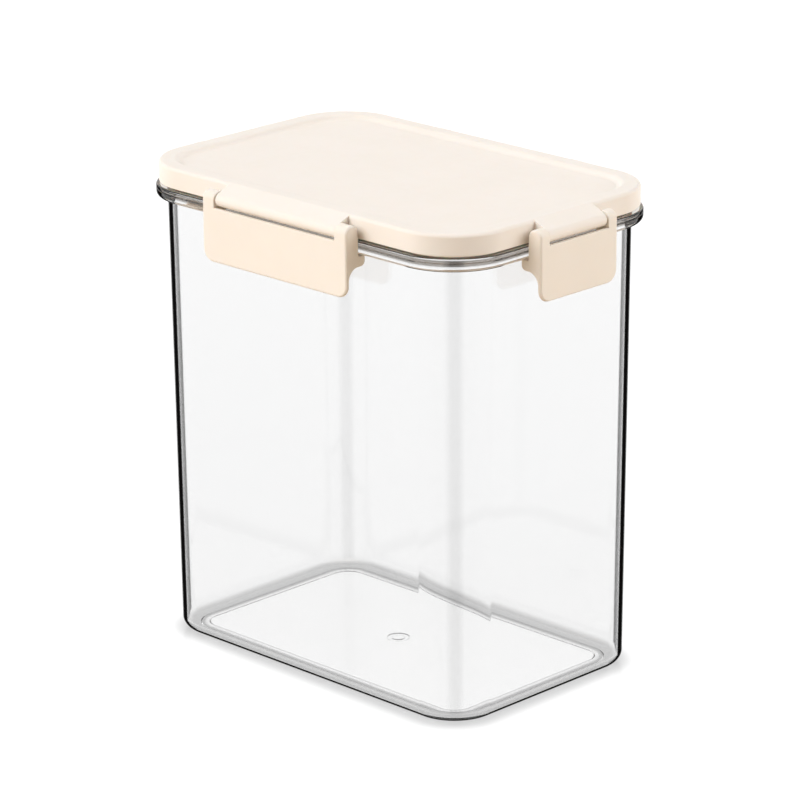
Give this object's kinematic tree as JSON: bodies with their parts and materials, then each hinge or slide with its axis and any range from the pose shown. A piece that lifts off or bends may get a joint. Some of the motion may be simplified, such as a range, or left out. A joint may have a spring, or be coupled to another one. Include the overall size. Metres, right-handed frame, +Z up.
{
  "type": "food canister",
  "caption": "Tall clear rectangular food storage canister with a flat recessed lid, a sealing ring and flap latches hinged on its sides.",
  "frame": {"origin": "middle of the foot ring, on the surface that the canister stands on", "axes": "+X along the long side, towards the right-hand narrow latch; +Y along the short side, towards the back wide latch; +Z up through the lid"},
  "size_m": [0.2304, 0.1604, 0.2365],
  "materials": {
    "clear_plastic": "clear, polished",
    "lid_plastic": "satin cream",
    "latch_plastic": "satin cream",
    "silicone": "soft, milky"
  },
  "bodies": {
    "canister": {"canister_body": "clear_plastic"},
    "lid": {"lid": "lid_plastic", "lid_gasket": "silicone"},
    "latch_front": {"latch_front": "latch_plastic"},
    "latch_back": {"latch_back": "latch_plastic"},
    "latch_left": {"latch_left": "latch_plastic"},
    "latch_right": {"latch_right": "latch_plastic"}
  },
  "joints": [
    {"name": "lid_lift", "type": "slide", "parent": "canister", "child": "lid", "axis": [0, 0, 1], "range_m": [0, 0.25]},
    {"name": "latch_front_hinge", "type": "hinge", "parent": "lid", "child": "latch_front", "pos_m": [0, -0.0763, 0.2299], "axis": [-1, 0, 0], "range_deg": [0, 120]},
    {"name": "latch_back_hinge", "type": "hinge", "parent": "lid", "child": "latch_back", "pos_m": [0, 0.0763, 0.2299], "axis": [1, 0, 0], "range_deg": [0, 120]},
    {"name": "latch_left_hinge", "type": "hinge", "parent": "lid", "child": "latch_left", "pos_m": [-0.1113, 0, 0.2299], "axis": [0, 1, 0], "range_deg": [0, 120]},
    {"name": "latch_right_hinge", "type": "hinge", "parent": "lid", "child": "latch_right", "pos_m": [0.1113, 0, 0.2299], "axis": [0, -1, 0], "range_deg": [0, 120]}
  ]
}
